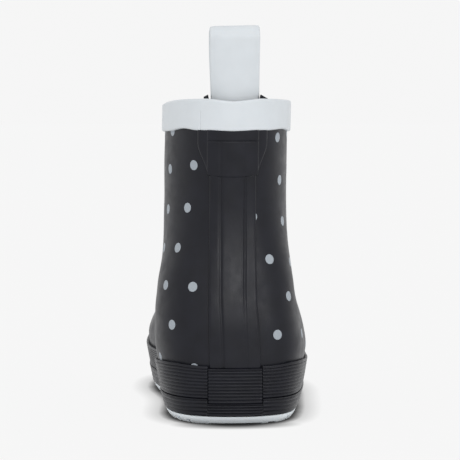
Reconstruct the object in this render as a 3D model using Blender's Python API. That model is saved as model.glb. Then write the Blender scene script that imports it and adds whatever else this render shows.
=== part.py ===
"""A child's short rain boot for the right foot, standing empty on its sole.

Metres, +Z up, the toe along +Y and the outer side of the foot at +X. The upper is one wall made from
a table of sections. Everything bonded to it is an offset of that same wall.
"""

import bmesh
import bpy
import numpy as np

for old in list(bpy.data.objects):
    bpy.data.objects.remove(old, do_unlink=True)

MM = 0.001

# Upper
FOOT_LENGTH = 192.5 * MM  # outside of the wall, at the top of the foxing
BALL_WIDTH = 82.5 * MM
HEEL_WIDTH = 70.5 * MM
SHAFT_HEIGHT = 160.2 * MM  # rim at the back, above the floor
SHAFT_WIDTH = 62.1 * MM
SHAFT_DEPTH = 89.0 * MM
UPPER_WALL = 2.2 * MM
TOE_SPRING = 5.0 * MM
TOE_BEND = 0.62  # share of FOOT_LENGTH where the sole starts to rise
RIM_DIP = 1.4 * MM  # the rim sinks this much at the middle of the back

# Sole and its side
OUTSOLE_HEIGHT = 3.7 * MM
TREAD_DEPTH = 2.2 * MM
TREAD_GROOVE = 3.2 * MM
SOLE_INSET = 0.6 * MM  # the tread's edge lies this far inside the rand
RAND_TOP = 12.8 * MM
RAND_TOP_AT_PANEL = 10.4 * MM
RAND_THICKNESS = 2.0 * MM
RAND_RIBS = 4
FOXING_TOP = 28.0 * MM
FOXING_THICKNESS = 1.5 * MM
FOXING_RIBS = 9
RIB_DEPTH = 0.5 * MM
LIP_HEIGHT = 1.3 * MM  # plain edge above the ribs
PANEL_HALF_WIDTH = 13.0 * MM
PANEL_THICKNESS = 2.1 * MM
PANEL_RIBS = 10
INSOLE_THICKNESS = 3.0 * MM
INSOLE_EASE = 0.1 * MM  # loose all round by this, beyond the gap

# Overlays on the back and the top
BACKSTAY_HALF_WIDTH = 11.7 * MM
BACKSTAY_SPREAD = 1.0 * MM  # wider by this on each side at the foxing
BACKSTAY_THICKNESS = 1.0 * MM
GROOVE_PLACE = 5.8 * MM
GROOVE_WIDTH = 1.6 * MM
GROOVE_DEPTH = 0.6 * MM
TAB_HEIGHT = 21.5 * MM  # below the collar trim
TAB_HALF_WIDTH = 12.4 * MM
TAB_THICKNESS = 1.5 * MM
SHIELD_HALF_WIDTH = 18.5 * MM
SHIELD_THICKNESS = 0.7 * MM
COLLAR_HEIGHT = 15.7 * MM
COLLAR_THICKNESS = 1.4 * MM
COLLAR_LIP = 0.5 * MM  # bare edge of the wall above the trim
COLLAR_EDGE = 1.0 * MM  # height of the trim's thinner edges
COLLAR_EDGE_STEP = 0.5 * MM

# Pull loop
LOOP_HALF_WIDTH = 12.3 * MM
LOOP_THICKNESS = 2.0 * MM
LOOP_RISE = 36.5 * MM  # above the rim
LOOP_TAIL = 12.0 * MM  # held inside the rim
LOOP_LEAN = 4.0 * MM
LOOP_OFFSET = 0.7 * MM  # to the outer side
LOOP_OPENING = 8.0 * MM
ANCHOR_HALF_WIDTH = 13.6 * MM
ANCHOR_THICKNESS = 1.2 * MM
ANCHOR_RISE = 1.4 * MM
ANCHOR_TAIL = 2.0 * MM  # the patch reaches this far below the strap's end

GAP = 0.3 * MM

# Points round each section: the middle of the back, the edges of the overlays there, then even steps
# to the toe along the outer side, and the same way back along the inner side.
SIDE_COLUMNS = 27
BACK_COLUMNS = (GROOVE_PLACE, BACKSTAY_HALF_WIDTH, SHIELD_HALF_WIDTH)
COLUMNS = 2 * SIDE_COLUMNS

# Outlines seen from above: y as a share of the section's length, x of its half width. The foot is
# hollow at the inner waist and longest at the big toe.
# station, foot y, outer x, inner x, instep y, x, shaft y, x
STATIONS = (
    ("back", 0.000, 0.000, 0.000, 0.000, 0.000, 0.000, 0.000),
    ("heel corner", 0.041, 0.715, 0.715, 0.034, 0.600, 0.040, 0.415),
    ("heel side", 0.165, 0.985, 0.985, 0.125, 0.925, 0.150, 0.740),
    ("waist back", 0.306, 1.052, 0.935, 0.265, 1.000, 0.312, 0.940),
    ("waist front", 0.469, 1.018, 0.850, 0.430, 0.915, 0.500, 1.000),
    ("ball", 0.622, 1.022, 0.945, 0.610, 0.760, 0.688, 0.925),
    ("toe root", 0.776, 0.970, 0.950, 0.780, 0.545, 0.850, 0.715),
    ("toe corner", 0.925, 0.670, 0.740, 0.930, 0.275, 0.960, 0.395),
    ("tip", 1.000, -0.060, -0.060, 1.000, 0.000, 1.000, 0.000),
)

# Sections of the upper. Height: -1 at the feather line, 0 at the top of the foxing, 1 at the rim. Back is
# a share of FOOT_LENGTH. Length and heel width are shares of the foot's or the shaft's, whichever the
# outline follows, ball width of BALL_WIDTH, and the shift to the inner side of SHAFT_WIDTH.
# name, height at back, at front, back, length, heel width, ball width, foot, instep, shift
SECTIONS = (
    ("feather", -1.000, -1.000, 0.016, 0.964, 0.890, 0.900, 1.00, 0.00, -0.010),
    ("mid foxing", -0.560, -0.560, 0.006, 0.989, 0.970, 0.952, 1.00, 0.00, -0.012),
    ("foxing top", 0.000, 0.000, 0.000, 1.000, 1.040, 1.000, 1.00, 0.00, -0.017),
    ("bulge", 0.058, 0.050, 0.000, 0.987, 1.068, 0.968, 1.00, 0.00, -0.021),
    ("toe top", 0.115, 0.093, 0.001, 0.953, 1.064, 0.905, 0.95, 0.05, -0.033),
    ("vamp low", 0.165, 0.129, 0.003, 0.895, 1.045, 0.842, 0.78, 0.22, -0.042),
    ("vamp mid", 0.215, 0.174, 0.007, 0.816, 1.020, 0.800, 0.48, 0.52, -0.055),
    ("vamp high", 0.271, 0.225, 0.013, 0.728, 0.986, 0.780, 0.18, 0.80, -0.060),
    ("instep", 0.329, 0.281, 0.021, 0.679, 0.982, 0.780, 0.02, 0.83, -0.058),
    ("ankle low", 0.395, 0.353, 0.030, 0.690, 0.983, 0.780, 0.00, 0.60, -0.052),
    ("ankle", 0.469, 0.438, 0.037, 0.767, 0.990, 0.780, 0.00, 0.33, -0.050),
    ("ankle high", 0.554, 0.531, 0.041, 0.873, 0.997, 0.780, 0.00, 0.13, -0.049),
    ("shaft low", 0.646, 0.628, 0.041, 0.955, 0.996, 0.780, 0.00, 0.03, -0.047),
    ("shaft mid", 0.757, 0.739, 0.037, 0.993, 0.999, 0.780, 0.00, 0.00, -0.046),
    ("collar foot", 0.882, 0.857, 0.031, 1.008, 0.994, 0.780, 0.00, 0.00, -0.041),
    ("rim", 1.000, 0.970, 0.024, 1.030, 0.994, 0.780, 0.00, 0.00, -0.036),
)
NAMES = [row[0] for row in SECTIONS]

# Top edge of the foxing band, highest round the heel and lowest beside the ball
# place, share of FOOT_LENGTH from the heel, share of FOXING_TOP above it
FOXING_LINE = (
    ("panel edge", 0.012, 0.040),
    ("heel", 0.045, 0.070),
    ("heel side", 0.110, 0.055),
    ("waist back", 0.200, -0.007),
    ("waist", 0.270, -0.035),
    ("waist front", 0.400, -0.090),
    ("ball", 0.580, -0.130),
    ("toe root", 0.780, -0.120),
    ("toe", 1.000, -0.080),
)

# Rows of the table that the wall is built from, closer together where it bends most
ROWS = [0.0, 1.0, 2.0, *np.arange(2.5, 8.1, 0.5), 9.0, 10.0, 11.0, 12.0, 13.0, 14.0, 15.0]

BLACK = (0.020, 0.021, 0.024, 1.0)
PALE = (0.640, 0.680, 0.710, 1.0)
GREY_TEXTILE = (0.150, 0.155, 0.165, 1.0)


def smooth(share):
    share = np.clip(share, 0.0, 1.0)
    return share * share * (3.0 - 2.0 * share)


def cubic(points, second, first, last, b):
    """A cubic spline's value a share b of the way from point first to point last."""
    a = 1.0 - b
    bend = (a**3 - a) * second[first] + (b**3 - b) * second[last]
    return a * points[first] + b * points[last] + bend / 6.0


def closed_curve(points, shares):
    """The smooth closed curve through the points, read at shares of the way round."""
    count = len(points)
    ones = np.eye(count)
    matrix = 4.0 * ones + np.roll(ones, 1, 0) + np.roll(ones, -1, 0)
    turn = np.roll(points, 1, 0) - 2.0 * points + np.roll(points, -1, 0)
    place = (np.asarray(shares) % 1.0) * count
    first = np.floor(place).astype(int) % count
    b = (place - np.floor(place))[:, None]
    return cubic(points, np.linalg.solve(matrix, 6.0 * turn), first, (first + 1) % count, b)


def open_curve(rows, at):
    """The smooth curve through the rows of a table, read at row number at."""
    count = len(rows)
    matrix = 4.0 * np.eye(count) + np.eye(count, k=1) + np.eye(count, k=-1)
    matrix[0], matrix[-1] = np.eye(count)[0], np.eye(count)[-1]
    turn = np.zeros_like(rows)
    turn[1:-1] = rows[:-2] - 2.0 * rows[1:-1] + rows[2:]
    first = min(int(at), count - 2)
    return cubic(rows, np.linalg.solve(matrix, 6.0 * turn), first, first + 1, at - first)


def toe_spring(y):
    """How far the sole has risen at this distance from the heel."""
    return TOE_SPRING * np.clip((y / FOOT_LENGTH - TOE_BEND) / (1.0 - TOE_BEND), 0.0, 1.0) ** 2


FEATHER = OUTSOLE_HEIGHT + GAP


def height_of(share):
    if share < 0.0:
        return FOXING_TOP + share * (FOXING_TOP - FEATHER)
    return FOXING_TOP + share * (SHAFT_HEIGHT - FOXING_TOP)


def section_sizes():
    """SECTIONS with its shares turned into lengths, but for the outline shares."""
    sizes = []
    for _, high, low, back, length, heel, ball, foot, instep, shift in SECTIONS:
        shaft = 1.0 - foot - instep
        whole_length = (1.0 - shaft) * FOOT_LENGTH + shaft * SHAFT_DEPTH
        whole_width = (1.0 - shaft) * HEEL_WIDTH + shaft * SHAFT_WIDTH
        ends = back * FOOT_LENGTH, length * whole_length
        widths = heel * whole_width, ball * BALL_WIDTH
        sizes.append((height_of(high), height_of(low), *ends, *widths, foot, instep, shift * SHAFT_WIDTH))
    return np.array(sizes)


SIZES = section_sizes()


def outline(heel_half, ball_half, length, foot, instep):
    """Sixteen control points of one section, from the middle of the back round the outer side."""
    shaft = 1.0 - foot - instep
    points = []
    for side, rows in ((1.0, STATIONS[:-1]), (-1.0, STATIONS[:0:-1])):
        for station, foot_y, outer_x, inner_x, instep_y, instep_x, shaft_y, shaft_x in rows:
            half = heel_half + (ball_half - heel_half) * smooth((foot_y - 0.2) / 0.4)
            foot_x = outer_x if side > 0 or station == "tip" else -inner_x
            other_x = side * (instep * instep_x + shaft * shaft_x)
            x = foot * half * foot_x + heel_half * other_x
            y = foot * foot_y + instep * instep_y + shaft * shaft_y
            points.append((x, y * length))
    return np.array(points)


def section(row):
    """The wall's outer line at one row of SECTIONS, which may lie between two of them."""
    high, low, back, length, heel, ball, foot, instep, shift = open_curve(SIZES, row)
    foot, instep = max(foot, 0.0), max(instep, 0.0)
    fine = np.linspace(0.0, 1.0, 721)
    line = closed_curve(outline(heel / 2, ball / 2, length, foot, instep), fine)
    run = np.concatenate([[0.0], np.cumsum(np.linalg.norm(np.diff(line, axis=0), axis=1))])
    outer = [np.interp(d, run, fine) for d in BACK_COLUMNS]
    inner = [np.interp(run[-1] - d, run, fine) for d in BACK_COLUMNS]
    steps = SIDE_COLUMNS - len(BACK_COLUMNS) + 1
    places = [0.0, *outer[:-1], *np.linspace(outer[-1], 0.5, steps)[:-1]]
    places += [*np.linspace(0.5, inner[-1], steps), *inner[-2::-1]]
    x, y = (np.interp(places, fine, line[:, axis]) for axis in (0, 1))
    z = high + (low - high) * y / length + foot * toe_spring(y + back)
    turned = 0.4 + 0.6 * smooth(y / (0.4 * SHAFT_DEPTH))  # the seam follows less than half the shift
    near_rim = smooth((row - NAMES.index("shaft mid")) / 2.0)
    near_back = smooth(1.0 - np.abs(x) / (1.25 * BACKSTAY_HALF_WIDTH)) * (y < length / 2)
    return np.stack([x + shift * turned, y + back, z - RIM_DIP * near_rim * near_back], 1)


def unit(vectors):
    return vectors / np.linalg.norm(vectors, axis=-1, keepdims=True)


SURFACE = np.array([section(row) for row in ROWS])
ALONG = np.roll(SURFACE, -1, 1) - np.roll(SURFACE, 1, 1)
NORMALS = unit(np.cross(ALONG, np.gradient(SURFACE, axis=0)))
LEVEL = unit(NORMALS * (1.0, 1.0, 0.0))
INSIDE = SURFACE - UPPER_WALL * NORMALS
INSIDE[0, :, 2] = SURFACE[0, :, 2]
INSIDE[-1, :, 2] = SURFACE[-1, :, 2]
INSIDE_ROWS = [k for k, row in enumerate(ROWS) if row == int(row)]


def on_facets(grid, levels, row, column, lift):
    """A point on the facets between a grid's rows, moved level by lift. Row and column may be fractions."""
    place = np.interp(row, [ROWS[k] for k in levels], range(len(levels)))
    low = min(int(place), len(levels) - 2)
    left = int(np.floor(column))
    up, over = place - low, column - left

    def corner(k, j):
        j %= COLUMNS
        return grid[levels[k], j] + lift * LEVEL[levels[k], j]

    below = (1.0 - over) * corner(low, left) + over * corner(low, left + 1)
    above = (1.0 - over) * corner(low + 1, left) + over * corner(low + 1, left + 1)
    return (1.0 - up) * below + up * above


def outside(row, column, lift):
    return on_facets(SURFACE, range(len(ROWS)), row, column, lift)


def inside(row, column, lift):
    return on_facets(INSIDE, INSIDE_ROWS, row, column, -lift)


def column_at(distance):
    """The column this far from the middle of the back, measured round the wall, outer side positive."""
    places = [0.0, *BACK_COLUMNS]
    return np.sign(distance) * np.interp(abs(distance), places, range(len(places)))


BACK_HEIGHTS = [open_curve(SIZES, row)[0] for row in ROWS]


def row_at(height):
    """The row at this height of the back, the rim's dip and the toe spring left out."""
    return np.interp(height, BACK_HEIGHTS, ROWS)


def rows_between(bottom, top, others=()):
    """Both ends, every built row between them, and others."""
    between = [row for row in ROWS if bottom + 0.02 < row < top - 0.02]
    return sorted({bottom, top, *between, *others})


def material(name, colour, roughness):
    made = bpy.data.materials.new(name)
    made.use_nodes = True
    shader = made.node_tree.nodes["Principled BSDF"]
    shader.inputs["Base Color"].default_value = colour
    shader.inputs["Roughness"].default_value = roughness
    shader.inputs["Metallic"].default_value = 0.0
    return made


boot = bpy.data.objects.new("boot", None)
bpy.context.scene.collection.objects.link(boot)
pieces = []


def solid(name, points, faces, paint, crease=35.0):
    mesh = bpy.data.meshes.new(name)
    mesh.from_pydata([tuple(p) for p in points], [], faces)
    work = bmesh.new()
    work.from_mesh(mesh)
    bmesh.ops.recalc_face_normals(work, faces=work.faces)
    work.to_mesh(mesh)
    work.free()
    mesh.shade_smooth()
    mesh.set_sharp_from_angle(angle=np.radians(crease))
    mesh.materials.append(paint)
    made = bpy.data.objects.new(name, mesh)
    bpy.context.scene.collection.objects.link(made)
    made.parent = boot
    pieces.append(made)
    return made


def sweep(name, profiles, paint, loop=False):
    """A solid through closed profiles of equal count, joined end to end or capped."""
    profiles = np.array(profiles)
    count, size = profiles.shape[:2]
    faces = []
    for j in range(count if loop else count - 1):
        here, there = j * size, (j + 1) % count * size
        for i in range(size):
            after = (i + 1) % size
            faces.append((here + i, here + after, there + after, there + i))
    if not loop:
        faces.append(tuple(range(size)))
        faces.append(tuple(range((count - 1) * size, count * size)))
    return solid(name, profiles.reshape(-1, 3), faces, paint)


def slab(name, rings, paint):
    """A solid through rings from bottom to top, its ends filled by strips across the foot."""
    rings = np.array(rings)
    levels, count = rings.shape[:2]
    faces = []
    for k in range(levels - 1):
        low, high = k * count, (k + 1) * count
        for j in range(count):
            after = (j + 1) % count
            faces.append((low + j, low + after, high + after, high + j))
    middle = count // 2
    for base in (0, (levels - 1) * count):
        faces.append((base, base + 1, base + count - 1))
        for j in range(1, middle - 1):
            faces.append((base + j, base + j + 1, base + count - j - 1, base + count - j))
        faces.append((base + middle - 1, base + middle, base + middle + 1))
    return solid(name, rings.reshape(-1, 3), faces, paint)


# Upper
shell = []
for j in range(COLUMNS):
    shell.append([*SURFACE[:, j], *[INSIDE[k, j] for k in reversed(INSIDE_ROWS)]])
sweep("upper", shell, material("upper_rubber", BLACK, 0.42), loop=True)


# Side of the sole
def ribbed(column, bottom, top, thickness, ribs, lip=0.0):
    """Profile of a band at one column: ribs outside, the wall's own line inside."""
    heights = np.linspace(bottom, top - lip, 2 * ribs + 1)
    lifts = [GAP + thickness - RIB_DEPTH * (index % 2 == 0) for index in range(len(heights))]
    if lip:
        heights = [*heights, top - lip, top]
        lifts += [GAP + thickness, GAP + thickness]
    points = [outside(row_at(h), column, lift) for h, lift in zip(heights, lifts)]
    inner = np.linspace(row_at(top), row_at(bottom), 4)
    return points + [outside(row, column, GAP) for row in inner]


def foxing_top(column):
    """Height of the band's top edge at this column, the toe spring left out."""
    _, places, rises = zip(*FOXING_LINE)
    y = outside(NAMES.index("foxing top"), column, 0.0)[1]
    return FOXING_TOP * (1.0 + np.interp(y / FOOT_LENGTH, places, rises))


side_rubber = material("sole_side_rubber", BLACK, 0.50)
panel_edge = column_at(PANEL_HALF_WIDTH - GAP / 2)
band_edge = column_at(PANEL_HALF_WIDTH + GAP / 2)
step_edge = column_at(PANEL_HALF_WIDTH + GAP)
side_columns = [j for j in range(COLUMNS) if step_edge < j < COLUMNS - step_edge]
back_columns = [j for j in range(COLUMNS) if j < panel_edge]

rand_columns = [*back_columns, band_edge, step_edge, *side_columns]
rand_columns += [COLUMNS - step_edge, COLUMNS - band_edge]
rand_columns += [COLUMNS - j for j in reversed(back_columns[1:])]
rand = []
for column in rand_columns:
    under_panel = min(column, COLUMNS - column) < (band_edge + step_edge) / 2
    top = RAND_TOP_AT_PANEL if under_panel else RAND_TOP
    rand.append(ribbed(column, FEATHER, top, RAND_THICKNESS, RAND_RIBS))
sweep("sole_rand", rand, side_rubber, loop=True)

band = []
for column in [band_edge, *side_columns, COLUMNS - band_edge]:
    top = foxing_top(column)
    band.append(ribbed(column, RAND_TOP + GAP, top, FOXING_THICKNESS, FOXING_RIBS, LIP_HEIGHT))
sweep("foxing_band", band, side_rubber)

panel = []
for column in [-panel_edge, *[-j for j in back_columns[:0:-1]], *back_columns, panel_edge]:
    panel.append(ribbed(column, RAND_TOP_AT_PANEL + GAP, FOXING_TOP, PANEL_THICKNESS, PANEL_RIBS))
sweep("heel_panel", panel, side_rubber)


# Outsole, grooved across under heel and forefoot
def sole_ring(lift, height):
    ring = SURFACE[0] + lift * LEVEL[0]
    ring[:, 2] = height + toe_spring(ring[:, 1])
    return ring


sole_lift = GAP + RAND_THICKNESS - SOLE_INSET
rings = [sole_ring(sole_lift - GAP, 0.0), sole_ring(sole_lift, GAP), sole_ring(sole_lift, OUTSOLE_HEIGHT)]
outsole = slab("outsole", rings, material("outsole_rubber", PALE, 0.55))


def box(work, low, high):
    made = bmesh.ops.create_cube(work, size=1.0)["verts"]
    for vert in made:
        vert.co = [low[i] + (high[i] - low[i]) * (vert.co[i] + 0.5) for i in range(3)]


def cutter(name, boxes):
    """A hidden solid of boxes that don't touch each other, cut from the outsole."""
    work = bmesh.new()
    for low, high in boxes:
        box(work, low, high)
    mesh = bpy.data.meshes.new(name)
    work.to_mesh(mesh)
    work.free()
    made = bpy.data.objects.new(name, mesh)
    bpy.context.scene.collection.objects.link(made)
    made.parent = boot
    made.hide_render = True
    made.display_type = "WIRE"
    cut = outsole.modifiers.new(name, "BOOLEAN")
    cut.operation = "DIFFERENCE"
    cut.object = made
    return made


reach = BALL_WIDTH
below = -2.0 * TREAD_DEPTH
across = []
for share in (0.085, 0.165, 0.245, 0.560, 0.640, 0.720, 0.800, 0.880, 0.950):
    y = share * FOOT_LENGTH
    top = TREAD_DEPTH + toe_spring(y)
    across.append(((-reach, y - TREAD_GROOVE / 2, below), (reach, y + TREAD_GROOVE / 2, top)))
waist = ((-reach, 0.330 * FOOT_LENGTH, below), (reach, 0.480 * FOOT_LENGTH, TREAD_DEPTH * 0.8))
cutter("grooves_across", [*across, waist])
lengthwise = []
for x in (-0.17 * BALL_WIDTH, 0.17 * BALL_WIDTH):
    sides = x - TREAD_GROOVE / 2, x + TREAD_GROOVE / 2
    start = 0.045 * FOOT_LENGTH, 0.520 * FOOT_LENGTH
    stop = 0.300 * FOOT_LENGTH, 0.920 * FOOT_LENGTH
    for low, high in zip(start, stop):
        lengthwise.append(((sides[0], low, below), (sides[1], high, TREAD_DEPTH * 0.97)))
cutter("grooves_lengthwise", lengthwise)

# Insole
floor = INSIDE[0] - (GAP + INSOLE_EASE) * LEVEL[0]
footbed = []
for height in (FEATHER, FEATHER + INSOLE_THICKNESS):
    ring = floor.copy()
    ring[:, 2] = height + toe_spring(ring[:, 1])
    footbed.append(ring)
slab("insole", footbed, material("insole_textile", GREY_TEXTILE, 0.95))


# Overlays on the back
def overlay(name, columns, rows, paint):
    """A patch on the wall. Each column is a function of height, with the lift of its outer face."""
    profiles = []
    for place, lift in columns:
        outer = [outside(row, column_at(place(row)), GAP + lift) for row in rows]
        inner = [outside(row, column_at(place(row)), GAP) for row in reversed(rows)]
        profiles.append(outer + inner)
    return sweep(name, profiles, paint)


def fixed(distance):
    return lambda row: distance


trim_top = row_at(SHAFT_HEIGHT - COLLAR_LIP)
trim_foot = row_at(SHAFT_HEIGHT - COLLAR_LIP - COLLAR_HEIGHT)
tab_top = SHAFT_HEIGHT - COLLAR_LIP - COLLAR_HEIGHT - GAP
tab_foot = tab_top - TAB_HEIGHT
groove = GROOVE_WIDTH / 2
stay_half = [(0.0, 0.0), (GROOVE_PLACE - groove, 0.0), (GROOVE_PLACE, GROOVE_DEPTH)]
stay_half += [(GROOVE_PLACE + groove, 0.0)]


def stay_edge(row):
    """Half width of the backstay, spreading over the heel."""
    foot = NAMES.index("foxing top")
    share = (NAMES.index("ankle") - row) / (NAMES.index("ankle") - foot)
    return BACKSTAY_HALF_WIDTH + BACKSTAY_SPREAD * smooth(share)


def mirrored(place):
    return lambda row: -place(row)


stay = [(fixed(d), BACKSTAY_THICKNESS - sunk) for d, sunk in stay_half]
stay.append((stay_edge, BACKSTAY_THICKNESS))
stay = [(mirrored(place), lift) for place, lift in reversed(stay[1:])] + stay
stay_rows = rows_between(row_at(FOXING_TOP + GAP), row_at(tab_foot - GAP))
overlay_rubber = material("overlay_rubber", BLACK, 0.45)
overlay("backstay", stay, stay_rows, overlay_rubber)


def shield_edge(row):
    """Half width of the shield: full under the collar, narrowing to the tab's own width."""
    height = np.interp(row, ROWS, BACK_HEIGHTS)
    share = (height - tab_foot) / TAB_HEIGHT
    least = TAB_HALF_WIDTH + 2.0 * GAP
    return least + (SHIELD_HALF_WIDTH - least) * smooth(share / 0.75)


step = TAB_HALF_WIDTH
tab_half = [(fixed(0.0), TAB_THICKNESS), (fixed(GROOVE_PLACE), TAB_THICKNESS)]
tab_half += [(fixed(step), TAB_THICKNESS), (fixed(step + GAP), SHIELD_THICKNESS)]
tab_half += [(shield_edge, SHIELD_THICKNESS)]
tab = [(mirrored(place), lift) for place, lift in reversed(tab_half[1:])] + tab_half
extra = [row_at(tab_foot + share * TAB_HEIGHT) for share in (0.2, 0.42, 0.6, 0.8)]
overlay("heel_tab", tab, rows_between(row_at(tab_foot), row_at(tab_top), extra), overlay_rubber)

# Collar trim
trim = []
trim_rows = rows_between(trim_foot, trim_top)
trim_outer = [trim_foot, row_at(SHAFT_HEIGHT - COLLAR_LIP - COLLAR_HEIGHT + COLLAR_EDGE)]
trim_outer += [row for row in trim_rows[1:-1] if row > trim_outer[1]]
trim_outer += [row_at(SHAFT_HEIGHT - COLLAR_LIP - COLLAR_EDGE), trim_top]
for j in range(COLUMNS):
    lifts = [COLLAR_THICKNESS] * len(trim_outer)
    lifts[0] = lifts[-1] = COLLAR_THICKNESS - COLLAR_EDGE_STEP
    outer = [outside(row, j, GAP + lift) for row, lift in zip(trim_outer, lifts)]
    trim.append(outer + [outside(row, j, GAP) for row in reversed(trim_rows)])
sweep("collar_trim", trim, material("collar_rubber", PALE, 0.50), loop=True)

# Patch inside the back wall that holds the loop
rim_height = SURFACE[-1, 0, 2]


def inner_face(height, across, lift):
    """A point this far across, lifted off the inside of the back wall, straight up above the rim."""
    row = row_at(min(height + RIM_DIP, SHAFT_HEIGHT))
    columns = np.linspace(-4.0, 4.0, 33)
    faces = np.array([inside(row, column, lift) for column in columns])
    x = faces[len(columns) // 2, 0] + LOOP_OFFSET + across
    return np.array([x, np.interp(x, faces[:, 0], faces[:, 1]), height])


def across_back(half_width):
    return [share * half_width for share in (-1.0, -0.75, -0.4, 0.0, 0.4, 0.75, 1.0)]


tail = rim_height - LOOP_TAIL
anchor_heights = [tail - ANCHOR_TAIL, (tail + rim_height) / 2, rim_height - GAP, rim_height + ANCHOR_RISE]
anchor = []
for distance in across_back(ANCHOR_HALF_WIDTH):
    near = [inner_face(h, distance, GAP) for h in anchor_heights]
    far = [inner_face(h, distance, GAP + ANCHOR_THICKNESS) for h in reversed(anchor_heights)]
    anchor.append(near + far)
sweep("loop_anchor", anchor, overlay_rubber)


# Pull loop: up, over and down again, seen from the side
def loop_line():
    """Middle line of the strap as (distance forward, height above the rim)."""
    bend = (LOOP_OPENING + LOOP_THICKNESS) / 2
    head = LOOP_RISE - LOOP_THICKNESS / 2 - bend
    legs = LOOP_THICKNESS + GAP
    line = [(0.0, -LOOP_TAIL), (0.0, -LOOP_TAIL / 2), (0.0, 0.0)]
    for share in (0.25, 0.5, 0.75, 1.0):
        line.append((-LOOP_LEAN * share**1.5, share * head))
    centre = line[-1][0] + bend
    for angle in np.radians((150, 120, 90, 60, 30)):
        line.append((centre + bend * np.cos(angle), head + bend * np.sin(angle)))
    for share in (1.0, 0.75, 0.5, 0.25, 0.0):
        apart = legs + (2.0 * bend - legs) * smooth(share**0.8)
        line.append((-LOOP_LEAN * share**1.5 + apart, share * head))
    line += [(legs, -LOOP_TAIL / 2), (legs, -LOOP_TAIL)]
    return np.array(line)


line = loop_line()
forward = np.gradient(line, axis=0)
side = unit(np.stack([forward[:, 1], -forward[:, 0]], 1)) * LOOP_THICKNESS / 2
strap = []
for distance in across_back(LOOP_HALF_WIDTH):
    profile = []
    for place, turn in [*zip(line, -side), *zip(line[::-1], side[::-1])]:
        height = rim_height + place[1]
        seat = inner_face(min(height, rim_height), distance, 2.0 * GAP + ANCHOR_THICKNESS)
        middle = inner_face(rim_height, 0.0, 2.0 * GAP + ANCHOR_THICKNESS)
        flat = smooth(place[1] / LOOP_RISE)
        y = seat[1] + flat * 0.7 * (middle[1] - seat[1])
        forward_y = LOOP_THICKNESS / 2 + place[0] + turn[0]
        profile.append((seat[0], y + forward_y, height + turn[1]))
    strap.append(profile)
sweep("pull_loop", strap, material("loop_rubber", PALE, 0.50))

# Stand the boot over the middle of its own box
bpy.context.view_layer.update()
corners = np.array([piece.matrix_world @ vert.co for piece in pieces for vert in piece.data.vertices])
middle = (corners.min(axis=0) + corners.max(axis=0)) / 2
boot.location = (-middle[0], -middle[1], 0.0)
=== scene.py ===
"""Looks of the short rain boot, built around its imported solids.

Metres. The wall is worked out from the same sections as the solids, only finer, and every visible piece
is a function of a row of that table and a column round the foot.
"""

import math

import bmesh
import bpy
import numpy as np
from mathutils import Matrix, Vector


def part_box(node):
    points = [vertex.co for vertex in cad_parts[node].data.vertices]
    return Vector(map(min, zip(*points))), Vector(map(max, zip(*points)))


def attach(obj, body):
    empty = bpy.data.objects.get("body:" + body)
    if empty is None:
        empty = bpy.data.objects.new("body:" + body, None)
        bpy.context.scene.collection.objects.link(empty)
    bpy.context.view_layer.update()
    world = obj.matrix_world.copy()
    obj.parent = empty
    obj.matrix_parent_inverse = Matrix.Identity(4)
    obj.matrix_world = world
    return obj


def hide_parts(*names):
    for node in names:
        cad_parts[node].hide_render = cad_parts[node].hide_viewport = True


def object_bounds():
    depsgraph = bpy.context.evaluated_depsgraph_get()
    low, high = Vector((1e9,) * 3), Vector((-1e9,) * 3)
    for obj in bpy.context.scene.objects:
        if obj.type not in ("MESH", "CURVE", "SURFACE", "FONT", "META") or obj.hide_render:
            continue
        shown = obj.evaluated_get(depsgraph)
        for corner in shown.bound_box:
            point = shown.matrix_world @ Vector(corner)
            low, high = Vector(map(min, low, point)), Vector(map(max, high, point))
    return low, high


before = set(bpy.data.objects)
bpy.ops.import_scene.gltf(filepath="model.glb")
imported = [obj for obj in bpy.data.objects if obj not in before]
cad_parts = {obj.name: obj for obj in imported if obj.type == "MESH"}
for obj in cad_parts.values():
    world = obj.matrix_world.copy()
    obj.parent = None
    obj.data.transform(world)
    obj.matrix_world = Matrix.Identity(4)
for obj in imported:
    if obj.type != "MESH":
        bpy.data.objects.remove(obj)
CAD_LOW, CAD_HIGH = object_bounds()

MM = 0.001

# Sizes of the solids
FOOT_LENGTH = 192.5 * MM
BALL_WIDTH = 82.5 * MM
HEEL_WIDTH = 70.5 * MM
SHAFT_HEIGHT = 160.2 * MM
SHAFT_WIDTH = 62.1 * MM
SHAFT_DEPTH = 89.0 * MM
UPPER_WALL = 2.2 * MM
TOE_SPRING = 5.0 * MM
TOE_BEND = 0.62
RIM_DIP = 1.4 * MM
OUTSOLE_HEIGHT = 3.7 * MM
TREAD_DEPTH = 2.2 * MM
TREAD_GROOVE = 3.2 * MM
SOLE_INSET = 0.6 * MM
RAND_TOP = 12.8 * MM
RAND_TOP_AT_PANEL = 10.4 * MM
RAND_THICKNESS = 2.0 * MM
RAND_RIBS = 4
FOXING_TOP = 28.0 * MM
FOXING_THICKNESS = 1.5 * MM
FOXING_RIBS = 9
LIP_HEIGHT = 1.3 * MM
PANEL_HALF_WIDTH = 13.0 * MM
PANEL_THICKNESS = 2.1 * MM
PANEL_RIBS = 10
INSOLE_THICKNESS = 3.0 * MM
BACKSTAY_HALF_WIDTH = 11.7 * MM
BACKSTAY_SPREAD = 1.0 * MM
BACKSTAY_THICKNESS = 1.0 * MM
GROOVE_PLACE = 5.8 * MM
TAB_HEIGHT = 21.5 * MM
TAB_HALF_WIDTH = 12.4 * MM
TAB_THICKNESS = 1.5 * MM
SHIELD_HALF_WIDTH = 18.5 * MM
COLLAR_HEIGHT = 15.7 * MM
COLLAR_THICKNESS = 1.4 * MM
COLLAR_LIP = 0.5 * MM
LOOP_HALF_WIDTH = 12.3 * MM
LOOP_THICKNESS = 2.0 * MM
LOOP_RISE = 36.5 * MM
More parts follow.
